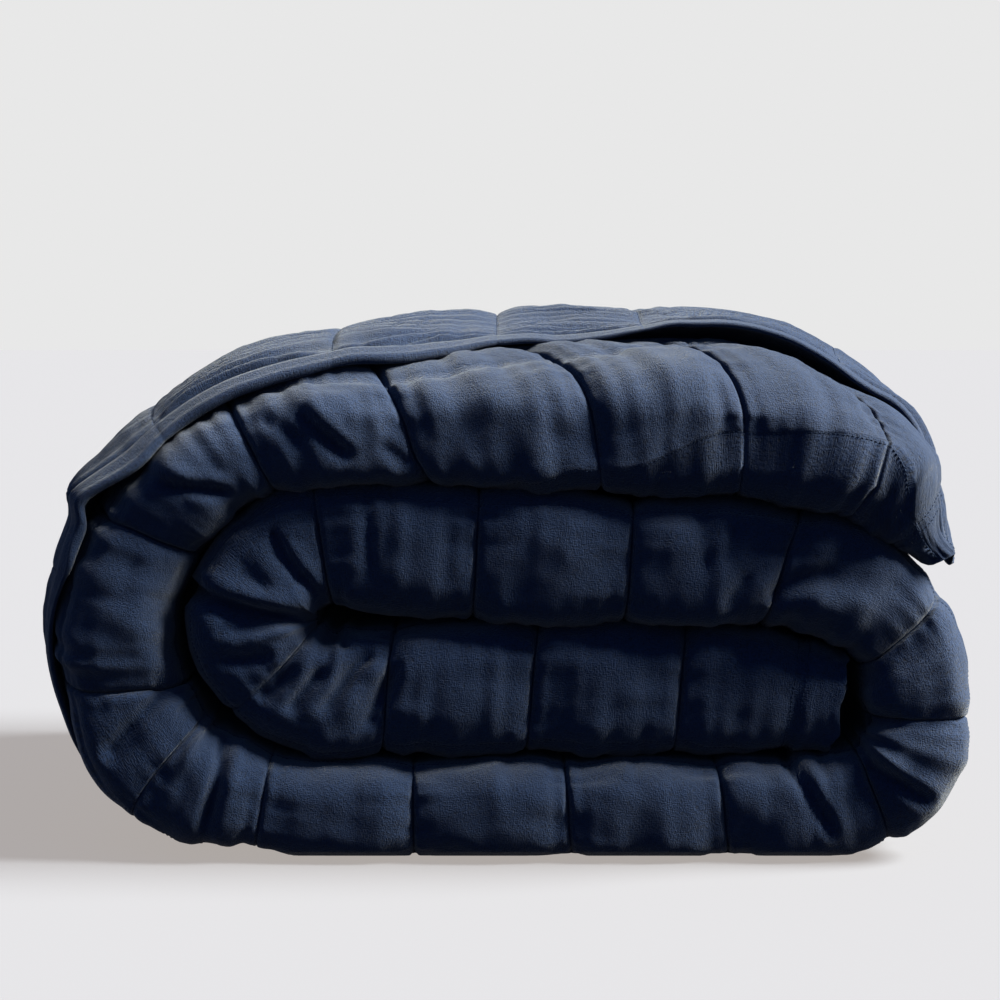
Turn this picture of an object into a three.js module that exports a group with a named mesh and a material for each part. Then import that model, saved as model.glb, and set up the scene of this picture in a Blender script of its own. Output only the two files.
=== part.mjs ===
// Linen quilt, 1.8 x 2.4 m, folded in three lengthwise and rolled up into a soft flat roll.
//
// Millimetres, +Z up. The front of the roll faces -Y: it shows the thick fold of the two inner
// layers, with the hem of the third layer, the flap, lying on it. The loose end hangs over the
// right-hand side, +X. The roll stands on Z = 0, and the origin is under its middle.
//
// The quilt is one closed solid. Its section is the outline of the three folded layers, a
// flat S. That outline is carried along the spiral that the layers make, seam by seam, and
// every sewn seam presses a groove into the surfaces that show.
import * as THREE from "three";

const { smoothstep, lerp, clamp } = THREE.MathUtils;

const FOLDED_DEPTH = 575; // front fold to back fold
const HEM = 8; // thickness of the hem, which has no filling
const HEM_WIDTH = 15; // hem's edge to its topstitching
const LAYER_GAP = 2.5; // air between two folded layers
const GROOVE = 7; // a seam below the crown of its square
const HEM_RISE = 60; // from the hem's edge to the full loft
const FOLD_WALL = 34; // cloth and filling at the nose of a fold
const FOLD_SETTLE = 75; // behind a fold's nose, where the layers lie flat again
const UNDER_REACH = 43; // most depth of a fold's rounding on its inner side
const LIFT_BEHIND = 110; // behind a lifted hem, where the flap lies down again
const FLAP_RISE = 115; // from the flap's edge to its full height
const FLAP_LEAST = 13; // least thickness of the flap behind its hem
const FLAP_GROOVE = 4.5; // a seam below the crown of its square, on the flap
const PRESSED = 0.3; // part of GROOVE that is left where a seam lies between two layers
const FOLD_EDGE = 4; // least distance from a seam along the front fold to the fold's end
const LOW_OPEN = 18; // a lower seam this far from the fold's inner edge lies open to the air
const TURN_OPEN = [15.5, 17.5]; // seams between which the outermost turn comes free of the others
const BACK_REACH = 36; // depth of the back fold's rounding
const BACK_HEM = 24; // the inner layer's hem, in from the back fold
const FLAP_SQUARES = 5; // squares across the flap, hem to back fold
const SEAM_SPACING = 100; // side of a quilted square

// The middle of the three layers, from the inner end of the roll to the loose end, and the
// height of the stack there.
const ROLL = [
  { x: 212, z: 101, stack: 62 },
  { x: 178, z: 105, stack: 73 },
  { x: 119, z: 108.5, stack: 85 },
  { x: 15, z: 108.5, stack: 85 },
  { x: -70, z: 107.5, stack: 82 },
  { x: -115, z: 105, stack: 77 },
  { x: -152, z: 119, stack: 80 },
  { x: -167, z: 153, stack: 82 },
  { x: -152, z: 188, stack: 80 },
  { x: -115, z: 202, stack: 80 },
  { x: -70, z: 200, stack: 84 },
  { x: -18, z: 197, stack: 85 },
  { x: 86, z: 195, stack: 84 },
  { x: 152, z: 193, stack: 81 },
  { x: 190, z: 187, stack: 78 },
  { x: 219, z: 177, stack: 72 },
  { x: 253, z: 151, stack: 69 },
  { x: 270, z: 108, stack: 75 },
  { x: 264, z: 60, stack: 74 },
  { x: 219, z: 33, stack: 66 },
  { x: 138, z: 29, stack: 63 },
  { x: 41, z: 29, stack: 63 },
  { x: -60, z: 29, stack: 63 },
  { x: -145, z: 31, stack: 64 },
  { x: -208, z: 46, stack: 83 },
  { x: -232, z: 66, stack: 90 },
  { x: -248.5, z: 93, stack: 88 },
  { x: -258.5, z: 140, stack: 81 },
  { x: -251.5, z: 188, stack: 82 },
  { x: -228, z: 239, stack: 93 },
  { x: -180.5, z: 277, stack: 92 },
  { x: -123, z: 293, stack: 98 },
  { x: -47, z: 297.5, stack: 110 },
  { x: 60, z: 299.5, stack: 115 },
  { x: 139, z: 296, stack: 117 },
  { x: 191, z: 286, stack: 113 },
  { x: 230, z: 264, stack: 98 },
  { x: 259, z: 236, stack: 66 },
  { x: 274, z: 211, stack: 40 },
  { x: 281, z: 197, stack: 26 },
];

// One row for each seam across the roll, and for the two ends. at: along the roll. fold: height
// of the front fold. nose: its foremost line, back from the front. reach: depth of its rounding.
// hem: the flap's edge, back from the front. lift: air under that edge. lean: how far the seam
// runs ahead between the fold's inner and outer edge. lag: the same for the flap. low: from the
// fold's inner edge to the first seam along the roll.
const SEAMS = [
  { at: 0, fold: 67, nose: 15, reach: 38, hem: 110, lift: 0, lean: 6, lag: 0, low: 4 },
  { at: 110, fold: 85, nose: 13, reach: 43, hem: 110, lift: 0, lean: 8, lag: 0, low: 4 },
  { at: 208, fold: 84, nose: 12, reach: 43, hem: 110, lift: 0, lean: 10, lag: 0, low: 4 },
  { at: 301, fold: 80, nose: 10, reach: 43, hem: 110, lift: 0, lean: 14, lag: 0, low: 4 },
  { at: 381, fold: 77, nose: 7, reach: 43, hem: 110, lift: 0, lean: 8, lag: 0, low: 4 },
  { at: 477, fold: 81, nose: 5, reach: 43, hem: 110, lift: 0, lean: 0, lag: 0, low: 4 },
  { at: 577, fold: 86, nose: 4, reach: 43, hem: 110, lift: 0, lean: 2, lag: 0, low: 4 },
  { at: 679, fold: 77, nose: 4, reach: 43, hem: 110, lift: 0, lean: 5, lag: 0, low: 4 },
  { at: 772, fold: 77, nose: 4, reach: 43, hem: 105, lift: 0, lean: 13, lag: -5, low: 4 },
  { at: 866, fold: 69, nose: 3, reach: 40, hem: 90, lift: 0, lean: -12, lag: -10, low: 4 },
  { at: 924, fold: 66, nose: 2, reach: 40, hem: 70, lift: 0, lean: 0, lag: -10, low: 4 },
  { at: 980, fold: 67, nose: 2, reach: 38, hem: 70, lift: 0, lean: 4, lag: -10, low: 4 },
  { at: 1076, fold: 61, nose: 2, reach: 36, hem: 90, lift: 0, lean: -8, lag: -12, low: 4 },
  { at: 1176, fold: 60, nose: 2, reach: 34, hem: 100, lift: 0, lean: -5, lag: -15, low: 4 },
  { at: 1274, fold: 60, nose: 2, reach: 34, hem: 95, lift: 0, lean: -1, lag: -18, low: 4 },
  { at: 1373, fold: 62, nose: 2, reach: 36, hem: 75, lift: 1, lean: 1, lag: -22, low: 4 },
  { at: 1459, fold: 68, nose: 3, reach: 40, hem: 60, lift: 0, lean: -14, lag: -28, low: 4 },
  { at: 1504, fold: 72, nose: 2, reach: 42, hem: 46, lift: 0, lean: 0, lag: -30, low: 4 },
  { at: 1600, fold: 73, nose: 0, reach: 46, hem: 20, lift: 1, lean: 0, lag: -40, low: 4 },
  { at: 1695, fold: 70, nose: 0, reach: 54, hem: 32, lift: 2, lean: -13, lag: -50, low: 4 },
  { at: 1796, fold: 78, nose: 0, reach: 64, hem: 52, lift: 1, lean: -40, lag: -60, low: 4 },
  { at: 1908, fold: 89, nose: 0, reach: 84, hem: 76, lift: 1, lean: -42, lag: -66, low: 30 },
  { at: 2006, fold: 97, nose: 0, reach: 92, hem: 84, lift: 5, lean: -40, lag: -66, low: 64 },
  { at: 2113, fold: 84, nose: 0, reach: 78, hem: 70, lift: 4, lean: -50, lag: -50, low: 82 },
  { at: 2203, fold: 20, nose: 6, reach: 22, hem: 22, lift: 0, lean: 0, lag: 0, low: 22 },
];

// Where the flap's hem stands up by itself: at, how far that reaches before and after, height.
const HEM_LIFTS = [
  { at: 1614, before: 14, after: 42, height: 13 },
  { at: 2048, before: 40, after: 34, height: 6 },
];

const LAST_SEAM = SEAMS.length - 1;
const ROLL_END = SEAMS[LAST_SEAM].at;

// The roll's line, dense enough to look up a place by its length from the inner end. A stack
// this thick bends softly, so each point is the mean of its neighbours.
const LINE_STEPS = 2400;
const SOFTNESS = 26; // neighbours on each side, about a millimetre apart
const rough = new THREE.CatmullRomCurve3(
  ROLL.map((row) => new THREE.Vector3(row.x, row.stack, row.z)),
  false,
  "catmullrom",
  0.5,
).getPoints(LINE_STEPS);
const line = rough.map((_, i) => {
  const reach = Math.min(SOFTNESS, i, LINE_STEPS - i);
  const near = rough.slice(i - reach, i + reach + 1);
  return near.reduce((sum, p) => sum.add(p), new THREE.Vector3()).divideScalar(near.length);
});
const lengths = [0];
for (let i = 1; i < line.length; i++) {
  const step = Math.hypot(line[i].x - line[i - 1].x, line[i].z - line[i - 1].z);
  lengths.push(lengths[i - 1] + step);
}

// The middle of the stack, its direction and its height, at a length along the roll.
function rollAt(along) {
  const wanted = (clamp(along, 0, ROLL_END) / ROLL_END) * lengths[lengths.length - 1];
  let low = 0;
  let high = lengths.length - 1;
  while (high - low > 1) {
    const middle = (low + high) >> 1;
    if (lengths[middle] <= wanted) low = middle;
    else high = middle;
  }
  const part = (wanted - lengths[low]) / (lengths[high] - lengths[low]);
  const before = line[Math.max(low - 1, 0)];
  const after = line[Math.min(high + 1, line.length - 1)];
  const turn = Math.atan2(after.z - before.z, after.x - before.x);
  const place = line[low].clone().lerp(line[high], part);
  return { x: place.x, z: place.z, stack: place.y, outX: -Math.sin(turn), outZ: Math.cos(turn) };
}

// A column of SEAMS between two rows, eased so that it has no corners.
function eased(column, row) {
  const low = Math.min(Math.floor(row), LAST_SEAM - 1);
  return lerp(SEAMS[low][column], SEAMS[low + 1][column], smoothstep(row - low, 0, 1));
}

// Where a seam number, whole or between two seams, falls along the roll, and the reverse.
function alongOf(seam) {
  const low = Math.min(Math.floor(seam), LAST_SEAM - 1);
  return lerp(SEAMS[low].at, SEAMS[low + 1].at, seam - low);
}
function seamOf(along) {
  const inside = clamp(along, 0, ROLL_END);
  let low = 0;
  while (low < LAST_SEAM - 1 && SEAMS[low + 1].at <= inside) low++;
  return low + (inside - SEAMS[low].at) / (SEAMS[low + 1].at - SEAMS[low].at);
}

// Extra air under the flap's hem, from HEM_LIFTS.
function standsUp(along) {
  let total = 0;
  for (const { at, before, after, height } of HEM_LIFTS) {
    const away = (along - at) / (along < at ? before : after);
    total += height * Math.exp(-(away ** 2));
  }
  return total;
}

// All measures of the section at a length along the roll, for cloth that is a given length from
// the nearer end of the quilt. Heights are from the inner side out.
function sectionAt(along, fromEnd) {
  const seam = seamOf(along);
  const { stack } = rollAt(along);
  const front = -FOLDED_DEPTH / 2;
  const filling = smoothstep(fromEnd, -12, HEM_RISE);
  const gap = lerp(Math.max(stack / 3 - HEM, 1), LAYER_GAP, filling);
  return {
    stack,
    gap,
    fold: eased("fold", seam),
    nose: front + eased("nose", seam),
    reach: eased("reach", seam),
    under: Math.min(eased("reach", seam), UNDER_REACH),
    wall: lerp(HEM, FOLD_WALL, filling),
    hem: front + eased("hem", seam),
    lift: eased("lift", seam) + standsUp(along),
    back: FOLDED_DEPTH / 2,
    firstTop: stack / 3 - gap / 2,
    secondBottom: stack / 3 + gap / 2,
    secondTop: (2 * stack) / 3 - gap / 2,
  };
}

// Top of the second layer: as high as the fold behind its nose, then down to its place.
function secondTop(m, y) {
  const settled = smoothstep(y, m.nose + m.reach, m.nose + m.reach + FOLD_SETTLE);
  return lerp(m.fold, m.secondTop, settled);
}

// Underside and top of the flap: it follows the second layer, and thins out to its hem.
function flapBottom(m, y) {
  const lifted = m.lift * (1 - smoothstep(y, m.hem, m.hem + LIFT_BEHIND));
  return secondTop(m, y) + m.gap + lifted;
}
function flapTop(m, y) {
  const full = Math.max(m.stack - flapBottom(m, y), FLAP_LEAST);
  const t = clamp((y - m.hem) / FLAP_RISE, 0, 1);
  return flapBottom(m, y) + lerp(HEM, full, t * (2 - t));
}

// The front fold is two quarters of ellipses, which meet at its foremost line. This gives its
// point at a distance round it.
const NOSE_STEPS = 48;
function nosePoint(m, distance) {
  const half = m.fold / 2;
  const at = (i) => {
    const angle = (i / NOSE_STEPS - 0.5) * Math.PI;
    const reach = angle < 0 ? m.under : m.reach;
    return [m.nose + reach * (1 - Math.cos(angle)), half + half * Math.sin(angle)];
  };
  let walked = 0;
  let last = at(0);
  for (let i = 1; i <= NOSE_STEPS; i++) {
    const next = at(i);
    const step = Math.hypot(next[0] - last[0], next[1] - last[1]);
    if (walked + step >= distance) {
      const part = (distance - walked) / step;
      return [lerp(last[0], next[0], part), lerp(last[1], next[1], part)];
    }
    walked += step;
    last = next;
  }
  return last;
}
function quarter(half, reach) {
  const h = ((half - reach) / (half + reach)) ** 2;
  return (Math.PI / 4) * (half + reach) * (1 + (3 * h) / (10 + Math.sqrt(4 - 3 * h)));
}
function noseLength(m) {
  return quarter(m.fold / 2, m.under) + quarter(m.fold / 2, m.reach);
}

// The back fold joins the second layer and the flap: half an ellipse again.
function backPoint(m, turned) {
  const half = (m.stack - m.secondBottom) / 2;
  const angle = (0.5 - turned) * Math.PI;
  return [m.back - BACK_REACH * (1 - Math.cos(angle)), m.stack - half + half * Math.sin(angle)];
}

// How far the filling lifts a square, 0 on its seams and 1 at its crown.
const crown = (part) => Math.sqrt(Math.max(Math.sin(Math.PI * part), 0));

// The ring of section points, anticlockwise seen along the roll. Each has its place in the
// section, whether it leans with the fold or the flap, how far it is across its square, where
// null means a face that is covered, with no grooves, how deep the grooves are, and how open
// the one beside it is.
const RING = [];
const wideOpen = () => 1;
const ring = (point, ahead = () => 0, across = null, depth = GROOVE, open = wideOpen) =>
  RING.push({ point, ahead, across, depth, open });
const foldOuter = (row) => row.lean;
const flap = (row) => row.lag;

// Inner face of the first layer, from its hem at the back to the front fold.
const firstHem = (m) => m.back - BACK_HEM;
ring((m) => [firstHem(m), m.firstTop / 2 - HEM / 2]);
ring((m) => [firstHem(m) - HEM_RISE, 0]);
ring((m) => [lerp(firstHem(m), m.nose, 0.4), 0]);
ring((m) => [lerp(firstHem(m), m.nose, 0.7), 0]);

// The front fold: one full square between two seams, and a strip on each side of it.
// Its seams are pressed shut between the layers, apart from the roll's outermost turn.
const FOLD_STEPS = [0, 0.12, 0.3, 0.5, 0.7, 0.88, 1];
const lowerOpen = (row) => lerp(PRESSED, 1, smoothstep(row.low, FOLD_EDGE, LOW_OPEN));
const upperOpen = (row, seam) => lerp(PRESSED, 1, smoothstep(seam, ...TURN_OPEN));
ring((m) => nosePoint(m, 0));
for (const part of FOLD_STEPS) {
  const span = (m, row) => Math.min(SEAM_SPACING, noseLength(m) - row.low - FOLD_EDGE);
  const distance = (m, row) => row.low + part * span(m, row);
  const ahead = (row, m) => (row.lean * distance(m, row)) / noseLength(m);
  const open = part < 0.5 ? lowerOpen : upperOpen;
  ring((m, row) => nosePoint(m, distance(m, row)), ahead, part, GROOVE, open);
}
ring((m) => nosePoint(m, noseLength(m)), foldOuter);

// Outer face of the second layer, under the flap, to the crease inside the back fold.
const UNDER_FLAP = [0, 30, 70, 120];
const underFlap = (m, behind) => Math.max(m.hem, m.nose + m.reach) + HEM + behind;
for (const behind of UNDER_FLAP) {
  ring((m) => [underFlap(m, behind), secondTop(m, underFlap(m, behind))], flap);
}
ring((m) => [lerp(m.nose, m.back, 0.6), m.secondTop], flap);
ring((m) => [m.back - FOLD_WALL, m.secondTop + m.gap / 2], flap);

// Underside of the flap, forward to its hem, and the hem's edge.
ring((m) => [lerp(m.nose, m.back, 0.6), flapBottom(m, m.back)], flap);
for (const behind of UNDER_FLAP.toReversed()) {
  ring((m) => [underFlap(m, behind), flapBottom(m, underFlap(m, behind))], flap);
}
ring((m) => [m.hem, flapBottom(m, m.hem)], flap);
ring((m) => [m.hem - HEM / 3, flapBottom(m, m.hem) + HEM / 2], flap);
ring((m) => [m.hem, flapBottom(m, m.hem) + HEM], flap);

// Top of the flap: its topstitching, then squares to the back fold.
const flapStart = (m) => m.hem + HEM_WIDTH;
for (let square = 0; square < FLAP_SQUARES; square++) {
  for (const part of [0, 0.2, 0.5, 0.8]) {
    const y = (m) => lerp(flapStart(m), m.back - BACK_REACH, (square + part) / FLAP_SQUARES);
    ring((m) => [y(m), flapTop(m, y(m))], flap, part, FLAP_GROOVE);
  }
}

// The back fold, one square between two seams.
for (const part of [0, 0.15, 0.38, 0.62, 0.85, 1]) {
  ring((m) => backPoint(m, part), flap, part);
}

// Inner face of the second layer to the crease inside the front fold, and back along the
// outer face of the first layer to its hem.
ring((m) => [lerp(m.nose, m.back, 0.5), m.secondBottom]);
ring((m) => [m.nose + m.wall, m.firstTop + m.gap / 2]);
ring((m) => [lerp(m.nose, m.back, 0.5), m.firstTop]);
ring((m) => [firstHem(m) - HEM_RISE, m.firstTop]);
ring((m) => [firstHem(m), m.firstTop / 2 + HEM / 2]);

// Stations along the roll: each seam, and between two seams as many steps as the roll's turn
// there needs.
const TURN_STEP = 0.36; // radians
const SHOULDER = 0.22; // part of a square from its seam to the next station
const stations = [];
for (let seam = 0; seam < LAST_SEAM; seam++) {
  const from = rollAt(alongOf(seam));
  const to = rollAt(alongOf(seam + 1));
  const turn = Math.acos(clamp(from.outX * to.outX + from.outZ * to.outZ, -1, 1));
  const steps = Math.max(3, Math.ceil(turn / TURN_STEP));
  stations.push(seam);
  for (let i = 0; i < steps - 1; i++) {
    stations.push(seam + lerp(SHOULDER, 1 - SHOULDER, steps > 2 ? i / (steps - 2) : 0.5));
  }
}
stations.push(LAST_SEAM);

// A ring point at a station, before its seams are pressed in: its place in the section, y and
// out, and in the roll, x, y, z.
function placed({ point, ahead, depth, open }, seam) {
  const row = { low: eased("low", seam), lean: eased("lean", seam), lag: eased("lag", seam) };
  const here = alongOf(seam);
  const fromEnd = Math.min(here, ROLL_END - here);
  const along = clamp(here + ahead(row, sectionAt(here, fromEnd)), 0, ROLL_END);
  const m = sectionAt(along, fromEnd);
  const [y, out] = point(m, row);
  const roll = rollAt(along);
  const offset = out - m.stack / 2;
  const place = new THREE.Vector3(roll.x + roll.outX * offset, y, roll.z + roll.outZ * offset);
  return { y, out, place, open: open(row, seam), groove: depth * smoothstep(fromEnd, 0, HEM_RISE) };
}

const NEAR = 0.04; // part of a square on each side of a point, from which its normal is taken

// The same point pressed in where a seam crosses, along the inward normal, and never under
// the surface that the quilt lies on.
function quilted(index, seam) {
  const here = RING[index];
  const { place, open, groove } = placed(here, seam);
  if (here.across !== null) {
    const count = RING.length;
    const before = placed(RING[(index + count - 1) % count], seam).place;
    const after = placed(RING[(index + 1) % count], seam).place;
    const ahead = placed(here, Math.min(seam + NEAR, LAST_SEAM)).place;
    const behind = placed(here, Math.max(seam - NEAR, 0)).place;
    const outward = ahead.sub(behind).cross(after.sub(before)).normalize();
    const lofted = (1 - open * (1 - crown(here.across))) * crown(seam - Math.floor(seam));
    place.addScaledVector(outward, groove * (lofted - 1));
  }
  place.z = Math.max(place.z, 0);
  return place;
}

// The skin between the rings, and the two end faces, as one closed mesh.
function quiltGeometry() {
  const count = RING.length;
  const points = stations.flatMap((seam) => RING.map((_, index) => quilted(index, seam)));
  const faces = [];
  for (let i = 0; i < stations.length - 1; i++) {
    for (let j = 0; j < count; j++) {
      const next = (j + 1) % count;
      const [a, b] = [i * count + j, i * count + next];
      faces.push(a, a + count, b, b, a + count, b + count);
    }
  }
  for (const [start, seam, flip] of [
    [0, 0, false],
    [(stations.length - 1) * count, LAST_SEAM, true],
  ]) {
    const outline = RING.map((at) => placed(at, seam)).map(({ y, out }) => new THREE.Vector2(y, out));
    for (const [a, b, c] of THREE.ShapeUtils.triangulateShape(outline, [])) {
      if (flip) faces.push(start + a, start + b, start + c);
      else faces.push(start + a, start + c, start + b);
    }
  }
  const geometry = new THREE.BufferGeometry().setFromPoints(points);
  geometry.setIndex(faces);
  geometry.computeVertexNormals();
  return geometry;
}

const linen = new THREE.MeshStandardMaterial({ color: 0x1c2940, roughness: 0.92, metalness: 0 });
const quilt = new THREE.Mesh(quiltGeometry(), linen);
quilt.name = "quilt";

// The origin is under the middle of the roll's box.
const box = new THREE.Box3().setFromObject(quilt, true);
quilt.position.set(-(box.min.x + box.max.x) / 2, -(box.min.y + box.max.y) / 2, -box.min.z);

const part = new THREE.Group();
part.add(quilt);

export default part;
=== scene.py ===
"""Linen quilt, folded in three lengthwise and rolled up: its cloth, stitching, light and camera.

Lengths are millimetres up to the place where a mesh is made, with x to the right, y back from
the camera and z up from the floor. The cloth is worked out on a grid. Its rows are stations
along the roll, from its inner end to the loose end, and its columns go round the section of the
three folded layers.
"""
import math
from types import SimpleNamespace

import bpy
import numpy as np
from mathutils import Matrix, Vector
from mathutils.geometry import tessellate_polygon


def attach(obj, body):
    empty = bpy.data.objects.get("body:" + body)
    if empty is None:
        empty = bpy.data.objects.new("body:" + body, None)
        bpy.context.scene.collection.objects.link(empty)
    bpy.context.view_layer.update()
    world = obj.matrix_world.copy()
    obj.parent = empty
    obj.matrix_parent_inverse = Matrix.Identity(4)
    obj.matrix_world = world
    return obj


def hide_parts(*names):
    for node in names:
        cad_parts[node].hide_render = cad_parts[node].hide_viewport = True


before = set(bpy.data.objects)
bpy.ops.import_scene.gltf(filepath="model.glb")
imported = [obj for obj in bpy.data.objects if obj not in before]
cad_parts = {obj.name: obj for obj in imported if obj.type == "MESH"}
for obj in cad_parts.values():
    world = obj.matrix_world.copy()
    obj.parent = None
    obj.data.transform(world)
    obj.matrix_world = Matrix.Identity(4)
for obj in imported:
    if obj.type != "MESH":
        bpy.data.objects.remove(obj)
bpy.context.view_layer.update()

MM = 0.001
TO_FRAME = np.array([-2.83, 0.19, 0.0])  # from the tables' axes to the middle of the roll's box

# The quilt and its hem
FOLDED_DEPTH = 575.0  # front fold to back fold
FRONT = -FOLDED_DEPTH / 2
BACK = FOLDED_DEPTH / 2
SQUARE = 100.0  # side of a quilted square
FLAP_SQUARES = 5  # squares across the flap, hem to back fold
LAYER_GAP = 2.0  # air between two folded layers
HEM = 8.0  # thickness of the hem, which has no filling
HEM_WIDTH = 9.0  # hem's edge to its topstitching
HEM_BULGE = 0.42  # how far the hem's round edge stands out, as a part of its thickness
HEM_RISE = 60.0  # from the hem's edge to the full loft
NO_LOFT = -12.0  # past the quilt's end, where the loft would come down to nothing
END_ROWS = (22.0, 26.5)  # two rows of topstitching, in from the quilt's ends

# The folds
FOLD_WALL = 34.0  # cloth and filling at the nose of a fold
FOLD_SETTLE = 75.0  # behind a fold's nose, where the layers lie flat again
FOLD_EDGE = 4.0  # least distance from a seam along the front fold to the fold's end
BACK_REACH = 36.0  # depth of the back fold's rounding
BACK_HEM = 24.0  # the inner layer's hem, in from the back fold
UNDER_REACH = 43.0  # most depth of a fold's rounding on its inner side
FRONT_CLEAR = 8.0  # height of the lowest layer's rounded front edge above the floor
CLEAR_REACH = 35.0  # behind the front, where that layer touches the floor

# The front fold's rounding is a power of an ellipse: 1 is the ellipse, and more is flatter.
BLUNT = 1.8
# Where the rounding is deep, its upper and lower half have their own power. The ranges are the
# depths of the rounding between which the power changes.
UPPER_DEEP_BLUNT = 1.0
UPPER_DEEP = (44, 60)
LOWER_DEEP_BLUNT = 3.0
LOWER_DEEP = (50, 84)

# The flap
FLAP_SHARES = (1.8, 1.3, 0.8, 0.6, 0.5)  # the flap's columns crowd towards its hem, by square
FLAP_RISE = 115.0  # from the flap's edge to its full height
FLAP_LEAST = 13.0  # least thickness of the flap behind its hem
LIFT_REACH = 110.0  # the air under a lifted hem reaches this far in
SNUG = 2.5  # the flap's hem presses this far into the fold that it lies on
SNUG_REACH = 60.0  # behind the hem, where it no longer presses
CORNER_HANG = np.array([-2.0, 2.0, -9.0])  # how the flap's corner droops at the loose end
CORNER_LENGTH = 110.0  # the droop starts this far from the loose end
CORNER_DEPTH = 120.0  # and reaches this far back from the front
CORNER_FULL = 90.0  # in from there to the full droop

# Stretches of the roll. A length along it where the stretch starts, is full, starts to end and
# is over.
LEFT_BEND = (1430, 1500, 1575, 1606)  # the flap comes up round the left bend
DRAPE = (1570, 1660, 1740, 1900)  # the flap drapes over the front fold
PRESSED_HEM = (1370, 1470, 1560, 1600)  # the hem is pressed thin
LOOSE_HEM = (1780, 1950)  # the hem thins towards the loose end; starts and is full

# What those stretches change
BEND_HEM = 16.0  # the hem comes forward by this much
BEND_RISE = 90.0  # takes the place of FLAP_RISE
BEND_PLUMPER = 3.0  # the flap is thicker by this much
BEND_SNUG = 0.6  # the part of SNUG that is lost
DRAPE_HEM = 14.0  # the hem comes forward by this much
DRAPE_REACH = 10.0  # the fold's rounding is deeper by this much
PRESSED_THINNER = 0.6  # the part of the hem's thickness that is lost
LOOSE_THINNER = 0.55  # the same towards the loose end

# Unevenness along the roll: height, length of a wave, seed of its noise.
HEM_WAVER = ((5, 95, 11), (2, 31, 12))
HEM_RIPPLE = ((1.5, 46, 13), (0.8, 17, 14))
NOSE_WAVER = ((3, 120, 15),)
INNER_END_REACH = 6.0  # the inner end reaches this much further
INNER_END_WAVES = 2.8  # height of its unevenness
INNER_END_WAVE = 10.0  # length of a wave in it
INNER_END_FADE = 45.0  # from the inner end, where both have gone

# The middle of the three layers, from the inner end of the roll to the loose end, and the
# height of the stack there: x, z, stack.
ROLL = np.array([
    (212, 101, 62), (178, 105, 73), (119, 108.5, 85), (15, 108.5, 85), (-70, 107.5, 82),
    (-115, 105, 77), (-152, 119, 80), (-167, 153, 82), (-152, 188, 80), (-115, 202, 80),
    (-70, 200, 84), (-18, 197, 85), (86, 195, 84), (152, 193, 81), (190, 187, 78),
    (219, 177, 72), (253, 151, 69), (270, 108, 75), (264, 60, 74), (219, 33, 66),
    (138, 29, 63), (41, 29, 63), (-60, 29, 63), (-145, 31, 64), (-208, 46, 83),
    (-232, 66, 90), (-248.5, 93, 88), (-258.5, 140, 81), (-251.5, 188, 82), (-228, 239, 93),
    (-180.5, 277, 92), (-123, 293, 98), (-47, 297.5, 110), (60, 299.5, 115), (139, 296, 117),
    (191, 286, 113), (230, 264, 98), (259, 236, 66), (274, 211, 40), (281, 197, 26),
], float)

# One row for each seam across the roll, and for the two ends: at, fold, nose, reach, hem,
# lift, lean, lag, low. at: along the roll. fold: height of the front fold. nose: its foremost
# line, back from the front. reach: depth of its rounding. hem: the flap's edge, back from the
# front. lift: air under that edge. lean: how far the seam runs ahead between the fold's inner
# and outer edge. lag: the same for the flap. low: from the fold's inner edge to the first seam.
SEAM_COLUMNS = ("at", "fold", "nose", "reach", "hem", "lift", "lean", "lag", "low")
SEAMS = np.array([
    (0, 67, 15, 38, 110, 0, 6, 0, 4),
    (110, 85, 13, 43, 110, 0, 8, 0, 4),
    (208, 84, 12, 43, 110, 0, 10, 0, 4),
    (301, 80, 10, 43, 110, 0, 14, 0, 4),
    (381, 77, 7, 43, 110, 0, 8, 0, 4),
    (477, 81, 5, 43, 110, 0, 0, 0, 4),
    (577, 86, 4, 43, 110, 0, 2, 0, 4),
    (679, 77, 4, 43, 110, 0, 5, 0, 4),
    (772, 77, 4, 43, 105, 0, 13, -5, 4),
    (866, 69, 3, 40, 90, 0, -12, -10, 4),
    (924, 66, 2, 40, 70, 0, 0, -10, 4),
    (980, 67, 2, 38, 70, 0, 4, -10, 4),
    (1076, 61, 2, 36, 90, 0, -8, -12, 4),
    (1176, 60, 2, 34, 100, 0, -5, -15, 4),
    (1274, 60, 2, 34, 95, 0, -1, -18, 4),
    (1373, 62, 2, 36, 75, 1, 1, -22, 4),
    (1459, 83, 3, 40, 60, 0, -16, -28, 4),
    (1504, 77, 2, 42, 50, 0, 22, -30, 4),
    (1600, 73, 0, 46, 20, 1, 0, -40, 4),
    (1695, 70, 0, 54, 32, 2, -13, -50, 4),
    (1796, 78, 0, 64, 52, 1, -40, -60, 4),
    (1908, 89, 0, 84, 76, 1, -42, -66, 30),
    (2006, 97, 0, 92, 84, 5, -40, -66, 64),
    (2113, 84, 0, 78, 70, 1, -50, -50, 82),
    (2203, 20, 6, 22, 22, 0, 0, 0, 22),
], float)
COLUMN = {name: SEAMS[:, i] for i, name in enumerate(SEAM_COLUMNS)}
LAST_SEAM = len(SEAMS) - 1
ROLL_END = SEAMS[-1, 0]

# Where the flap's hem stands up by itself: at, how far that reaches before and after, height.
HEM_LIFTS = [(1618, 9, 26, 12), (2060, 55, 45, 9)]
# Drift of the seams along the roll, by seam number.
SEAM_DRIFT = [
    (0, 0), (1, -14), (2, -18), (3, -20), (4, -22), (5, -2), (6, -5), (7, -11), (8, -11), (9, 0),
    (10, -8), (11, 0), (12, 8), (13, 6), (14, 5), (15, 2), (16, -3), (17, -9), (18, 15),
    (19, 24), (20, 38), (21, 36), (22, 32), (23, 24), (24, 0),
]
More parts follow.
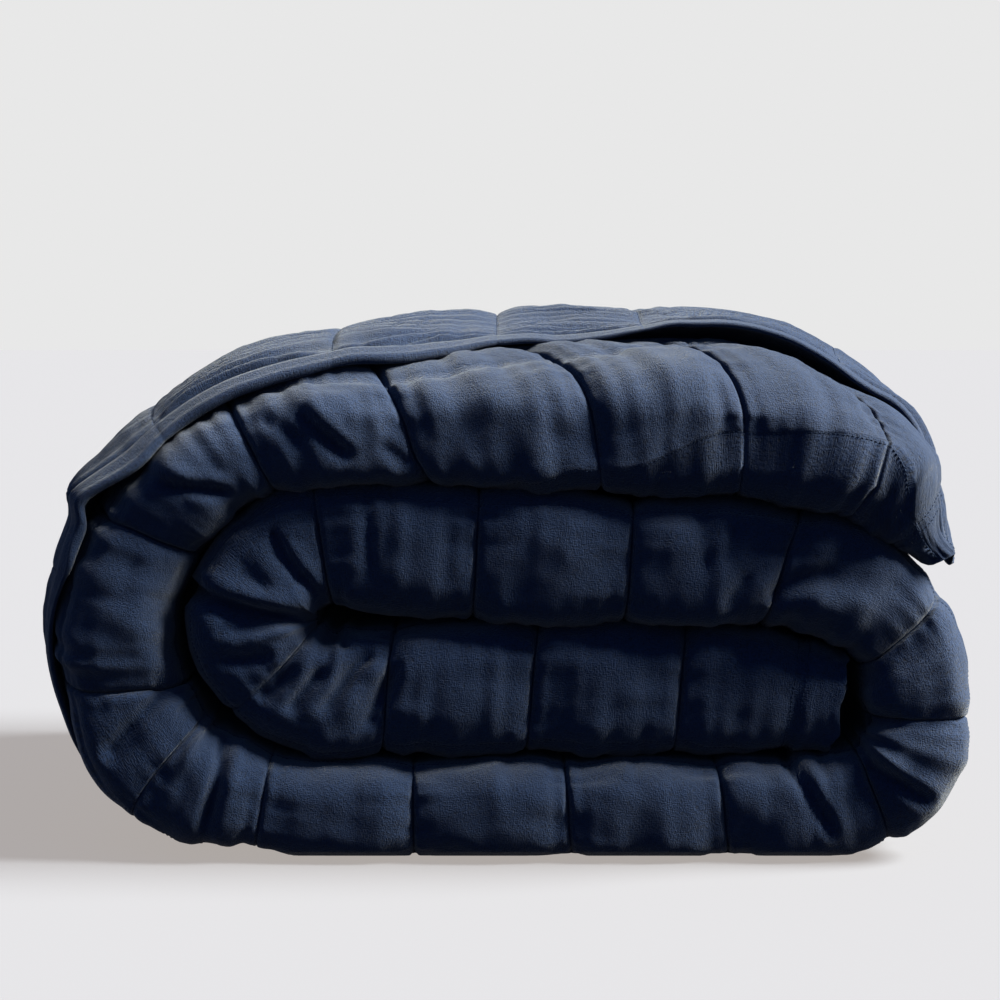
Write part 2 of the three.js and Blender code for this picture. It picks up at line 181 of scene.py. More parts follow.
# How taut the cloth is round the bends, which makes a seam shallower, by seam number.
TAUT = [
    (3.5, 0), (4, 1), (4.5, 0),
    (9.5, 0), (10, 0.7), (10.5, 0),
    (14.5, 0), (15, 1), (16, 1), (16.5, 0),
]

# Creases that the photo shows, laid in the front view: three points x, z, then the
# half-width, the depth, and the side of the raised lip: 1 left of the way it runs, -1 right,
# 0 for none.
CREASES = [
    (-229, 241, -203, 238, -176, 235, 3.5, 6, 1),  # under the flap's corner
    (-213, 114, -245, 82, -266, 58, 6, 8, 0),  # left bend
    (-186, 78, -190, 47, -202, 6, 4, 6, 1),
    (-204, 179, -180, 161, -122, 152, 5, 14, 1),  # lower edge of the curl's upper turn
    (-189, 151, -170, 149, -149, 146, 4, 3, 0),
    (-188, 128, -169, 126, -153, 133, 5, 5, 1),
    (-180, 205, -167, 185, -151, 169, 5, 2.5, 0),
    (-149, 211, -147, 196, -118, 161, 4, 5.5, 1),
    (-125, 136, -111, 140, -105, 129, 4, 5, 1),  # the hook at the heart of the curl
    (-86, 136, -105, 114, -122, 88, 5, 7, 1),
    (-116, 122, -133, 106, -142, 90, 5, 6, 1),
    (-135, 125, -153, 107, -164, 101, 5, 5, 1),
    (-68, 128, -82, 104, -92, 78, 4.5, 5, 1),
    (-138, 291, -120, 273, -98, 256, 4, 6, 1),  # top layer
    (-161, 288, -145, 276, -129, 266, 5, 3.5, -1),
    (-84, 269, -73, 260, -62, 252, 4.5, 3, 1),
    (-92, 235, -90, 211, -88, 171, 4.5, 2.5, -1),  # second turn
    (127, 226, 129, 202, 129, 179, 4.5, 2.5, 1),
    (150, 216, 146, 202, 141, 187, 4.5, 2.5, 1),
    (158, 185, 151, 172, 142, 161, 4.5, 3, 1),
    (168, 162, 190, 176, 220, 185, 6, 6, 1),
    (285, 161, 261, 130, 229, 106, 6, 3, 0),  # right bend
    (223, 86, 242, 85, 265, 86, 5, 6, 0),
    (230, 62, 255, 46, 280, 31, 4.5, 7, 1),
    (174, 70, 197, 40, 216, 6, 4, 6, 1),
]
# Where the filling swells: x and z in the front view, half-widths across and up, height.
SWELLS = [
    (50, 240, 120, 13, 4.5),  # second turn, under the top layer
    (-140, 238, 34, 14, 5),
    (225, 214, 34, 13, 4),
    (60, 152, 130, 10, 3),  # inner turn
    (60, 62, 190, 9, 2.5),  # bottom layer
    (195, 164, 26, 12, 6),
    (-170, 120, 40, 40, 2),  # the curl
    (-196, 158, 14, 48, 6),
    (190, 252, 70, 14, 9),  # right shoulder, where the top layer comes down
    (236, 250, 30, 18, 12),
    (262, 215, 12, 24, 6),
]

# The camera
CREST = -240.0  # the front fold's crest, where the photo's scale is read
DISTANCE = 1754.0  # camera to the crest
AIM = (-4.55, 230.75)  # x and z at the middle of the picture
EYE_HEIGHT = 347.0
VIEW_WIDTH = 650.0  # width of the picture at the crest


def lerp(a, b, t):
    """From a to b in a straight line, as t goes from 0 to 1."""
    return a + (b - a) * t


def smoothstep(x, low, high):
    """0 up to low, 1 from high on, and between them 3 t squared less 2 t cubed."""
    t = np.clip((x - low) / (high - low), 0, 1)
    return t * t * (3 - 2 * t)


def within(along, stretch):
    """1 inside a stretch of the roll and 0 outside it: a smooth step up times one down."""
    starts, full, ends, over = stretch
    return smoothstep(along, starts, full) * (1 - smoothstep(along, ends, over))


def crown(part):
    """How far the filling lifts a square, 0 on its seams and 1 at its middle: three quarters of
    a steep power of half a sine wave, and one quarter of the wave itself."""
    rise = np.abs(np.sin(np.pi * part))
    return 0.75 * rise**0.35 + 0.25 * rise


# The roll's line

def roll_line(steps=2400, softness=26):
    """Length, x, z, stack and direction at each step of the roll. They lie on cubics through
    the rows of ROLL, with the slope at a row half the way between its neighbours. Each point is
    then the mean of its neighbours, because a stack this thick bends softly."""
    before = 2 * ROLL[0] - ROLL[1]
    after = 2 * ROLL[-1] - ROLL[-2]
    rows = np.vstack([before, ROLL, after])
    t = np.linspace(0, len(ROLL) - 1, steps + 1)
    low = np.minimum(t.astype(int), len(ROLL) - 2)
    f = (t - low)[:, None]
    p0, p1, p2, p3 = (rows[low + k] for k in range(4))
    v0 = (p2 - p0) / 2
    v1 = (p3 - p1) / 2
    cubic = 2 * p1 - 2 * p2 + v0 + v1
    square = 3 * p2 - 3 * p1 - 2 * v0 - v1
    line = cubic * f**3 + square * f**2 + v0 * f + p1
    total = np.vstack([np.zeros(3), np.cumsum(line, axis=0)])
    i = np.arange(steps + 1)
    reach = np.minimum(np.minimum(softness, i), steps - i)
    line = (total[i + reach + 1] - total[i - reach]) / (2 * reach + 1)[:, None]
    step = np.hypot(np.diff(line[:, 0]), np.diff(line[:, 1]))
    length = np.concatenate([[0], np.cumsum(step)])
    turn = np.unwrap(np.arctan2(np.gradient(line[:, 1]), np.gradient(line[:, 0])))
    return length / length[-1] * ROLL_END, line[:, 0], line[:, 1], line[:, 2], turn


LINE = roll_line()


def roll_at(along):
    """The middle of the stack, its height and its outward direction at a length along the roll,
    read between the two nearest steps of LINE."""
    along = np.clip(along, 0, ROLL_END)
    x, z, stack, turn = (np.interp(along, LINE[0], values) for values in LINE[1:])
    return SimpleNamespace(x=x, z=z, stack=stack, out_x=-np.sin(turn), out_z=np.cos(turn))


def eased(name, seam):
    """A column of SEAMS between two rows, eased by 3 t squared less 2 t cubed so that it has no
    corners."""
    low = np.clip(np.floor(seam).astype(int), 0, LAST_SEAM - 1)
    t = seam - low
    return lerp(COLUMN[name][low], COLUMN[name][low + 1], t * t * (3 - 2 * t))


def along_of(seam):
    """Where a seam falls along the roll: its place in SEAMS plus its drift."""
    numbers = np.arange(LAST_SEAM + 1)
    return np.interp(seam, numbers, COLUMN["at"]) + np.interp(seam, *zip(*SEAM_DRIFT))


def seam_of(along):
    """The number of the seam at a length along the roll, without the drift."""
    return np.interp(along, COLUMN["at"], np.arange(LAST_SEAM + 1))


# Noise

NOISE_SIZE = 256  # the noise repeats after this many cells


def noise(x, y, seed):
    """Smooth noise from -1 to 1 with cells of 1: random heights at whole numbers, joined by
    steps that are smooth up to their second slope."""
    table = np.random.default_rng(seed).uniform(-1, 1, (NOISE_SIZE, NOISE_SIZE))
    x, y = np.broadcast_arrays(x, y)
    xi = np.floor(x).astype(int)
    yi = np.floor(y).astype(int)
    fx = x - xi
    fy = y - yi
    fx = fx * fx * fx * (fx * (6 * fx - 15) + 10)
    fy = fy * fy * fy * (fy * (6 * fy - 15) + 10)
    xj = (xi + 1) % NOISE_SIZE
    yj = (yi + 1) % NOISE_SIZE
    xi = xi % NOISE_SIZE
    yi = yi % NOISE_SIZE
    low = lerp(table[xi, yi], table[xj, yi], fx)
    high = lerp(table[xi, yj], table[xj, yj], fx)
    return lerp(low, high, fy)


def cloudy(x, y, seed):
    """Noise, and half as much of a noise with cells about half as large, set off from the first
    so that the two don't line up."""
    return noise(x, y, seed) + 0.5 * noise(2.03 * x + 7.1, 2.03 * y + 3.7, seed + 1)


def waves(along, table):
    """A sum of noises along the roll, one for each row of height, length and seed."""
    return sum(height * noise(along / length, 0.5, seed) for height, length, seed in table)


# The section

def stands_up(along):
    """Extra air under the flap's hem: a bell curve for each row of HEM_LIFTS, with its own
    width before and after its crest."""
    total = 0 * along
    for at, before, after, height in HEM_LIFTS:
        away = (along - at) / np.where(along < at, before, after)
        total = total + height * np.exp(-away**2)
    return total


def measures(along, from_end):
    """All measures of the section at a length along the roll, for cloth that is a given length
    from the nearer end of the quilt. Heights are from the inner side out. The three layers
    share the stack evenly, with a gap that widens where the quilt's ends thin out."""
    seam = seam_of(np.clip(along, 0, ROLL_END))
    filling = smoothstep(from_end, NO_LOFT, HEM_RISE)
    stack = roll_at(along).stack
    gap = lerp(np.maximum(stack / 3 - HEM, 1), LAYER_GAP, filling)
    bend = within(along, LEFT_BEND)
    drape = within(along, DRAPE)
    thinner = PRESSED_THINNER * within(along, PRESSED_HEM)
    thinner = thinner + LOOSE_THINNER * smoothstep(along, *LOOSE_HEM)
    hem = FRONT + eased("hem", seam) + filling * waves(along, HEM_WAVER) * (1 - bend)
    ripple = filling * np.maximum(waves(along, HEM_RIPPLE), -1)
    return SimpleNamespace(
        stack=stack,
        gap=gap,
        fold=eased("fold", seam),
        nose=FRONT + eased("nose", seam) + filling * waves(along, NOSE_WAVER),
        reach=eased("reach", seam) + DRAPE_REACH * drape,
        under=np.minimum(eased("reach", seam), UNDER_REACH),
        wall=lerp(HEM, FOLD_WALL, filling),
        hem=hem - DRAPE_HEM * drape - BEND_HEM * bend,
        edge=HEM * (1 - thinner),
        lift=(eased("lift", seam) + ripple) * (1 - bend) + stands_up(along),
        rise=lerp(FLAP_RISE, BEND_RISE, bend),
        plumper=BEND_PLUMPER * bend,
        snug=SNUG * (1 - BEND_SNUG * bend),
        first_top=stack / 3 - gap / 2,
        second_bottom=stack / 3 + gap / 2,
        second_top=2 * stack / 3 - gap / 2,
    )


def upper_blunt(m):
    """The power of the fold's upper half, from BLUNT where its rounding is shallow to
    UPPER_DEEP_BLUNT where it is deep."""
    return lerp(BLUNT, UPPER_DEEP_BLUNT, smoothstep(m.reach, *UPPER_DEEP))


def lower_blunt(m):
    """The same for the fold's lower half."""
    return lerp(BLUNT, LOWER_DEEP_BLUNT, smoothstep(m.reach, *LOWER_DEEP))


def second_top(m, y):
    """Top of the second layer: round the fold's shoulder, then eased down to its place."""
    settled = smoothstep(y, m.nose + m.reach, m.nose + m.reach + FOLD_SETTLE)
    level = 1 - np.clip((y - m.nose) / m.reach, 0.02, 1) ** (1 / upper_blunt(m))
    shoulder = m.fold / 2 * (1 + np.sqrt(1 - level**2))
    return lerp(shoulder, m.second_top, settled)


def flap_bottom(m, y):
    """Underside of the flap: a gap above the second layer, plus the lift at the hem, less how
    far the hem presses in. Both fade out behind the hem."""
    lifted = m.lift * (1 - smoothstep(y, m.hem, m.hem + LIFT_REACH))
    pressed = m.snug * (1 - smoothstep(y, m.hem, m.hem + SNUG_REACH))
    return second_top(m, y) + m.gap + lifted - pressed


def flap_top(m, y):
    """Top of the flap: the hem's thickness at its edge, and from there along a parabola up to
    the full thickness, which fills the stack."""
    full = np.maximum(m.stack - flap_bottom(m, y), FLAP_LEAST) + m.plumper
    t = np.clip((y - m.hem) / m.rise, 0, 1)
    return flap_bottom(m, y) + lerp(m.edge, full, t * (2 - t))


def quarter(half, reach):
    """Length of a quarter of an ellipse with these half-axes, by the usual close formula."""
    h = ((half - reach) / (half + reach)) ** 2
    return math.pi / 4 * (half + reach) * (1 + 3 * h / (10 + np.sqrt(4 - 3 * h)))


def nose_length(m):
    """Girth of the front fold: two quarters of ellipses."""
    return quarter(m.fold / 2, m.under) + quarter(m.fold / 2, m.reach)


def nose_point(m, part):
    """A point of the front fold at a part of its girth. The fold is two quarters of ellipses,
    made flatter in front, which meet at its foremost line. The angle from that line is found by
    halving its range, with each length as a weighted sum of five slopes."""
    half = m.fold / 2 + 0 * part
    beyond = part * nose_length(m) - quarter(m.fold / 2, m.under)
    reach = np.where(beyond < 0, m.under, m.reach)
    low = np.zeros_like(reach)
    high = np.full_like(reach, math.pi / 2)
    for _ in range(20):
        middle = (low + high) / 2
        length = 0
        for k, weight in enumerate((1, 4, 2, 4, 1)):
            s = middle * k / 4
            length = length + weight * np.sqrt((half * np.cos(s)) ** 2 + (reach * np.sin(s)) ** 2)
        short = length * middle / 12 < np.abs(beyond)
        low = np.where(short, middle, low)
        high = np.where(short, high, middle)
    angle = (low + high) / 2
    blunt = np.where(beyond < 0, lower_blunt(m), upper_blunt(m))
    y = m.nose + reach * (1 - np.cos(angle)) ** blunt
    return y, half + half * np.sin(angle) * np.sign(beyond)


def back_point(m, part):
    """A point of the back fold at a part of its girth: half an ellipse from the top of the
    stack to the underside of the second layer."""
    half = (m.stack - m.second_bottom) / 2
    angle = (0.5 - part) * math.pi
    return BACK - BACK_REACH * (1 - np.cos(angle)), m.stack - half + half * np.sin(angle)


# The grid

def even(count):
    """Evenly spread places of this many columns, from 0 up to but not including 1."""
    return np.arange(count) / count


def shared(count, pull=0.6):
    """Places from 0 to 1 that a sine wave crowds towards the two seams of a square."""
    a = np.arange(count) / count
    return a - pull * np.sin(2 * math.pi * a) / (2 * math.pi)


def strips(flap_count, fold_count):
    """The ring of the section as strips, each with the places of its columns from 0 to 1, how
    it finds (y, out, across), and how far it runs ahead of its station. across is the place in
    squares counted from a seam; it is zero where covered."""
    first_hem = BACK - BACK_HEM
    crowd = 1.7  # power that crowds a layer's columns towards the fold
    close = 8  # power that closes the gap between two layers near the fold they share

    def square_span(m, row):
        """Girth of the fold's full square, which ends short of the fold's end."""
        return np.minimum(SQUARE, nose_length(m) - row.low - FOLD_EDGE)

    def inner_face(m, row, t):
        """The inner side, forward to the fold: flat, but up to half the hem near its edge."""
        start = m.nose + m.under
        y = lerp(first_hem, start, t)
        out = (m.first_top / 2 - HEM / 2) * (1 - smoothstep(first_hem - y, 0, HEM_RISE))
        return y, out, -(row.low + y - start) / SQUARE

    def before_seam(m, row, t):
        """Round the fold from its inner edge to its first seam."""
        part = t * row.low / nose_length(m)
        return *nose_point(m, part), -row.low * (1 - t) / SQUARE

    def fold_square(m, row, t):
        """Round the fold from its first seam to its second."""
        return *nose_point(m, (row.low + t * square_span(m, row)) / nose_length(m)), t

    def after_seam(m, row, t):
        """Round the fold from its second seam to its outer edge."""
        rest = nose_length(m) - row.low - square_span(m, row)
        return *nose_point(m, 1 - (1 - t) * rest / nose_length(m)), 1 + t * rest / SQUARE

    def second_outer(m, row, t):
        """Back along the top of the second layer. across goes on past the fold's last seam."""
        start = m.nose + m.reach
        y = lerp(start, BACK - FOLD_WALL, t**crowd)
        return y, second_top(m, y) + m.gap / 2 * t**close, 1.2 + (y - start) / SQUARE

    def flap_under(m, row, t):
        """Forward along the underside of the flap, to its hem."""
        y = lerp(BACK - FOLD_WALL, m.hem, 1 - (1 - t) ** crowd)
        out = flap_bottom(m, y) - m.gap / 2 * (1 - t) ** close
        return y, out, (y - m.hem - HEM_WIDTH) / SQUARE

    def flap_edge(m, row, t):
        """Round the flap's hem: half an ellipse."""
        angle = math.pi * t
        y = m.hem - m.edge * HEM_BULGE * np.sin(angle)
        return y, flap_bottom(m, m.hem) + m.edge / 2 * (1 - np.cos(angle)), 0 * t

    def flap_hem(m, row, t):
        """Back over the hem to its topstitching."""
        y = m.hem + HEM_WIDTH * t
        return y, flap_top(m, y), 0 * y

    def flap_square(m, row, t):
        """Back over the flap's squares."""
        y = lerp(m.hem + HEM_WIDTH, BACK - BACK_REACH, t)
        return y, flap_top(m, y), t * FLAP_SQUARES

    def back_fold(m, row, t):
        """Down round the back fold."""
        return *back_point(m, t), t

    def second_under(m, row, t):
        """Forward along the underside of the second layer, into the fold."""
        y = lerp(BACK - BACK_REACH, m.nose + m.wall, t)
        return y, m.second_bottom - m.gap / 2 * t**close, 0 * y

    def first_outer(m, row, t):
        """Back along the top of the first layer, which comes down to its hem."""
        y = lerp(m.nose + m.wall, first_hem, t)
        out = m.first_top + m.gap / 2 * (1 - t) ** close
        hem = m.first_top / 2 + HEM / 2
        return y, lerp(out, hem, smoothstep(y, first_hem - HEM_RISE, first_hem)), 0 * y

    def first_edge(m, row, t):
        """Down round the first layer's hem: half an ellipse."""
        angle = math.pi * (1 - t)
        y = first_hem + HEM * HEM_BULGE * np.sin(angle)
        return y, m.first_top / 2 + HEM / 2 * -np.cos(angle), 0 * t

    def straight(row, t, m):
        """The inner side and the hidden faces keep to their station."""
        return 0 * row.lean

    def with_flap(row, t, m):
        """The flap lags behind."""
        return row.lag

    def lean_from(start, end):
        """The fold's lean grows evenly round the nose, and faster higher up where its first
        seam has moved up."""
        def lean(row, t, m):
            high = row.low + square_span(m, row)
            places = {"start": 0, "low": row.low, "high": high, "end": nose_length(m)}
            part = lerp(places[start], places[end], t) / nose_length(m)
            return row.lean * lerp(part, 1.5 * part**3, smoothstep(row.low, 10, 40))
        return lean

    def blend_to_flap(row, t, m):
        """The second layer's top starts with the fold's lean and soon lags with the flap."""
        return lerp(row.lean, row.lag, smoothstep(t, 0, 0.3))

    counts = [round(flap_count * share) for share in FLAP_SHARES]
    flap_places = np.concatenate([i + shared(count) for i, count in enumerate(counts)])
    return [
        ("inner", 1 - (1 - even(18)) ** 0.6, inner_face, straight),
        ("fold", even(3), before_seam, lean_from("start", "low")),
        ("fold", shared(fold_count), fold_square, lean_from("low", "high")),
        ("fold", even(8), after_seam, lean_from("high", "end")),
        ("second", even(18), second_outer, blend_to_flap),
        ("under", even(18), flap_under, with_flap),
        ("edge", even(7), flap_edge, with_flap),
        ("hem", even(5), flap_hem, with_flap),
        ("flap", flap_places / FLAP_SQUARES, flap_square, with_flap),
        ("back", shared(22), back_fold, with_flap),
        ("hidden", even(7), second_under, straight),
        ("hidden", even(9), first_outer, straight),
        ("edge", even(6), first_edge, straight),
    ]


def stations(first, last, per_square=44):
    """Seam numbers of the grid's rows between two seams, crowded towards each seam."""
    squares = [seam + shared(per_square) for seam in range(first, last)]
    return np.concatenate(squares + [[last]])


def smooth_cross(surface):
    """Unit normals of a grid of points that closes on itself across, pointing out: the cross
    product of the steps along the grid and across it."""
    along = np.gradient(surface, axis=0)
    across = np.roll(surface, -1, axis=1) - np.roll(surface, 1, axis=1)
    normal = np.cross(along, across)
    size = np.linalg.norm(normal, axis=2, keepdims=True)
    return normal / np.maximum(size, 1e-9)


def cloth_grid(first, last, flap_count, fold_count):
    """The crowned surface of one length of the quilt: the section at each station, set square
    to the roll's line. Each point also says its kind of strip, its place in squares across the
    cloth, its seam number, its length along the roll and from the quilt's nearer end, and its
    height above the inner side."""
    seam = stations(first, last)[:, None]
    here = along_of(seam)
    from_end = np.minimum(here, ROLL_END - here)
    row = SimpleNamespace(**{name: eased(name, seam) for name in ("low", "lean", "lag")})
    base = measures(here, from_end)
    y, out, across, along, stack, kinds = [], [], [], [], [], []
    for kind, places, shape, shear in strips(flap_count, fold_count):
        t = places[None, :]
        strip_along = np.clip(here + shear(row, t, base) + 0 * t, 0, ROLL_END)
        m = measures(strip_along, from_end + 0 * t)
        strip_y, strip_out, strip_across = shape(m, row, t)
        y.append(strip_y + 0 * strip_along)
        out.append(strip_out + 0 * strip_along)
        across.append(strip_across + 0 * strip_along)
        along.append(strip_along)
        stack.append(m.stack)
        kinds += [kind] * len(places)
    y, out, across, along, stack = (np.hstack(part) for part in (y, out, across, along, stack))
    roll = roll_at(along)
    offset = out - stack / 2
    points = np.stack([roll.x + roll.out_x * offset, y, roll.z + roll.out_z * offset], axis=2)
    return SimpleNamespace(
        points=points, kinds=np.array(kinds), across=across, seam=seam, here=here,
        from_end=from_end, out=out, low=row.low,
    )


# Relief: grooves, puckers, soft folds and ridges. Heights and distances are millimetres. A pair
# of numbers is the range over which something grows from nothing to its full size, or, where the
# name ends in SIZE, the length of its waves along the roll and across it.

# How open the seam along the fold is, from 0 to 1. The lower seam opens as it moves up from
# the fold's inner edge, and the upper seam where the outer turn begins, by seam number.
PRESSED = 0.3  # between two layers
LOWER_OPEN = 0.45
LOWER_OPENS = (4, 18)
LOWER_WIDER = 0.2
LOWER_WIDENS = (30, 64)
UPPER_OPENS = (15.5, 17.5)

GROOVE = 7.0  # a seam below the crown of its square
FLAP_GROOVE = 4.5  # the same on the flap
INNER_SHARE = 0.5  # part of a groove on the inner side
HIDDEN_SHARE = 0.15  # part of a groove on the hidden faces
BEFORE_SHARE = 0.6  # part of a groove before the fold's first seam
LOOSE_SHARE = 0.35  # part of a groove at the loose end
LOOSE_FADE = (60, 200)  # from the loose end
TAUT_LOSS = 0.6  # part of a groove that is lost where the cloth is taut
PRESSED_LOSS = 0.7  # part of a groove that is lost where the fold is pressed
PRESSED_EDGE = (0.22, 0.5)  # from the middle of the fold's square, in squares
PLUMP = 3.0  # crown of a square of the fold, above the plain solid
PLUMP_RISE = 40.0  # from the quilt's end to the full crown
NOTCH = 0.4  # the sharp line that the thread pulls in, as a part of its groove
NOTCH_WIDTH = 1.7
DIP = 2.2  # topstitching near the quilt's ends, below the cloth
DIP_WIDTH = 3.2

PUCKER = 6.5  # from one pucker to the next
PUCKER_CHANGE = 40.0  # the puckers are others at this distance from their seam
PUCKER_START = 4.0  # from the thread to a pucker's full height
ACROSS_HEIGHT = 1.7  # puckers along the seams that run across the roll
ACROSS_FADE = 18.0
ACROSS_APART = 3.3  # cells of noise from one seam's puckers to the next's
ALONG_HEIGHT = 2.0  # puckers along the seams that run along the roll
ALONG_FADE = 20.0
ALONG_APART = 3.7

SOFT_HEIGHT = 1.6  # uneven filling
SOFT_SIZE = (38.0, 24.0)
SOFT_RISE = 22.0  # from a seam to their full height
ROUND_HEIGHT = 1.8  # folds that run round the front fold
ROUND_HEIGHT_ELSEWHERE = 0.5
ROUND_SIZE = (15.0, 110.0)
ROUND_RISE = 12.0  # from a seam across the roll to their full height

RIDGE_HEIGHT = 3.4  # ridges along the flap
RIDGE_PITCH = 13.0  # from one ridge to the next
RIDGE_WANDER = 0.8  # how far a ridge strays, in pitches
RIDGE_WANDER_SIZE = (80.0, 40.0)
RIDGE_STRENGTH = 0.75  # a ridge is this strong, give or take RIDGE_UNEVEN
RIDGE_UNEVEN = 0.5
RIDGE_UNEVEN_SIZE = (60.0, 30.0)
RIDGES_START = (17.2, 18.4)  # seam number
RIDGES_FADE = (110, 300)  # back from the hem
RIDGES_LOSS = 0.8  # part of the height that is lost there


def seam_places(grid):
    """What the relief needs to know of each point: its kind of strip, how far through its
    square it is, how far it is from the nearest seam across the roll and along it, how open
    the fold's seam is, and the share of a groove's full depth."""
    kinds = grid.kinds[None, :]
    fold = kinds == "fold"
    flap = kinds == "flap"
    shown = fold | flap | (kinds == "back")
    part = grid.seam - np.floor(grid.seam)
    lower = lerp(PRESSED, LOWER_OPEN, smoothstep(grid.low, *LOWER_OPENS))
    lower = lower + LOWER_WIDER * smoothstep(grid.low, *LOWER_WIDENS)
    upper = lerp(PRESSED, 1, smoothstep(grid.seam, *UPPER_OPENS))
    share = np.where(shown, 1.0, np.where(kinds == "inner", INNER_SHARE, HIDDEN_SHARE))
    return SimpleNamespace(
        fold=fold,
        flap=flap,
        shown=shown,
        part=part,
        cross_gap=np.minimum(part, 1 - part) * SQUARE,
        long_gap=np.abs(grid.across - np.round(grid.across)) * SQUARE,
        open=np.where(fold, np.where(grid.across < 0.5, lower, upper), 1.0),
        share=np.where(flap, FLAP_GROOVE / GROOVE, share),
    )


def seam_grooves(grid, place):
    """The groove's depth times the square's crown less 1, so nothing at a square's middle and
    the full depth on a seam. On the fold, the crown's own height is added and the thread's
    notch, a bell curve on each seam across the roll, is taken off."""
    full = crown(place.part)
    full = full * np.where(place.shown, 1 - place.open * (1 - crown(grid.across)), 1.0)
    groove = GROOVE * smoothstep(grid.from_end, 0, HEM_RISE)
    groove = groove * lerp(LOOSE_SHARE, 1.0, smoothstep(ROLL_END - grid.here, *LOOSE_FADE))
    groove = groove * (1 - TAUT_LOSS * np.interp(grid.seam, *zip(*TAUT)))
    pressed = (1 - place.open) * smoothstep(np.abs(grid.across - 0.5), *PRESSED_EDGE)
    groove = groove * np.where(place.fold, 1 - PRESSED_LOSS * pressed, 1.0)
    groove = groove * np.where(grid.across < 0, BEFORE_SHARE, 1.0)
    plump = PLUMP * smoothstep(grid.from_end, 0, PLUMP_RISE) * full
    notch = NOTCH * groove * np.exp(-((place.cross_gap / NOTCH_WIDTH) ** 2))
    return groove * place.share * (full - 1) + np.where(place.fold, plump - notch, 0)


def topstitch_dip(grid, place):
    """The dip of the topstitching near the quilt's ends: a bell curve between its two rows."""
    away = (grid.from_end - sum(END_ROWS) / 2) / DIP_WIDTH
    return -np.where(place.shown, DIP * np.exp(-(away**2)), 0)


def puckers(grid, place):
    """Puckers across each seam: noise along the seam, which starts at the thread and dies out
    over a thumb's width."""
    def along_seam(run, number, gap, fade, seed):
        """Noise along a seam, of its own for each number, times its growth and its decay."""
        grown = np.exp(-gap / fade) * smoothstep(gap, 0, PUCKER_START)
        return grown * noise(run / PUCKER, number + gap / PUCKER_CHANGE, seed)

    cross_number = np.floor(grid.seam + 0.5) * ACROSS_APART
    long_number = np.round(grid.across) * ALONG_APART
    across = along_seam(grid.across * SQUARE, cross_number, place.cross_gap, ACROSS_FADE, 21)
    along = along_seam(grid.here, long_number, place.long_gap, ALONG_FADE, 22)
    return place.share * (ACROSS_HEIGHT * across + ALONG_HEIGHT * place.open * along)


def soft_folds(grid, place):
    """Uneven filling between the seams, and folds that run round the front fold: two clouds of
    noise, both nothing on a seam across the roll."""
    run = grid.across * SQUARE
    lumps = cloudy(grid.here / SOFT_SIZE[0], run / SOFT_SIZE[1], 23)
    lumps = lumps * smoothstep(np.minimum(place.cross_gap, place.long_gap), 0, SOFT_RISE)
    rounds = cloudy(grid.here / ROUND_SIZE[0], run / ROUND_SIZE[1], 25)
    rounds = rounds * np.where(place.fold, ROUND_HEIGHT, ROUND_HEIGHT_ELSEWHERE)
    rounds = rounds * smoothstep(place.cross_gap, 0, ROUND_RISE)
    return place.share * (SOFT_HEIGHT * lumps + rounds)


def flap_ridges(grid, place):
    """Ridges along the flap, from seam to seam: a cosine across it that noise makes stray and
    makes stronger or weaker. They begin on the left bend and fade towards the back."""
    run = grid.across * SQUARE
    stray = noise(grid.here / RIDGE_WANDER_SIZE[0], run / RIDGE_WANDER_SIZE[1], 27)
    ridges = np.cos(2 * math.pi * (run / RIDGE_PITCH + RIDGE_WANDER * stray))
    uneven = noise(grid.here / RIDGE_UNEVEN_SIZE[0], run / RIDGE_UNEVEN_SIZE[1], 28)
    strength = RIDGE_STRENGTH + RIDGE_UNEVEN * uneven
    strength = strength * smoothstep(grid.seam, *RIDGES_START)
    strength = strength * (1 - RIDGES_LOSS * smoothstep(run, *RIDGES_FADE))
    return np.where(place.flap, RIDGE_HEIGHT * crown(place.part) * strength * ridges, 0)


def relief(grid):
    """How far the cloth stands out from the crowned surface: the sum of all of these."""
    place = seam_places(grid)
    parts = (seam_grooves, topstitch_dip, puckers, soft_folds, flap_ridges)
    return sum(part(grid, place) for part in parts)


# Creases and swells, placed in the front view

CREASE_STEPS = 12  # straight pieces that a crease is measured along
CREASE_FADE = 0.2  # part of its length over which a crease dies out at each end
CREASE_REACH = 4  # in half-widths
LIP_HEIGHT = 0.3  # as a part of the crease's depth
LIP_AWAY = 2  # the lip's crest from the crease, in half-widths
LIP_WIDTH = 1.3  # in half-widths


def front_view(points):
    """Where the camera sees a point, as x and z in the plane of the crest: its place from the
    camera's axis, scaled by the distance to the crest over the distance to the point."""
    nearness = DISTANCE / (DISTANCE + points[..., 1] - CREST)
    x = AIM[0] + (points[..., 0] - AIM[0]) * nearness
    return x, EYE_HEIGHT + (points[..., 2] - EYE_HEIGHT) * nearness


def through(start, middle, end, t):
    """A parabola that passes start, middle and end as t goes from 0 to 1."""
    pull = 2 * middle - (start + end) / 2
    return (1 - t) ** 2 * start + 2 * t * (1 - t) * pull + t**2 * end


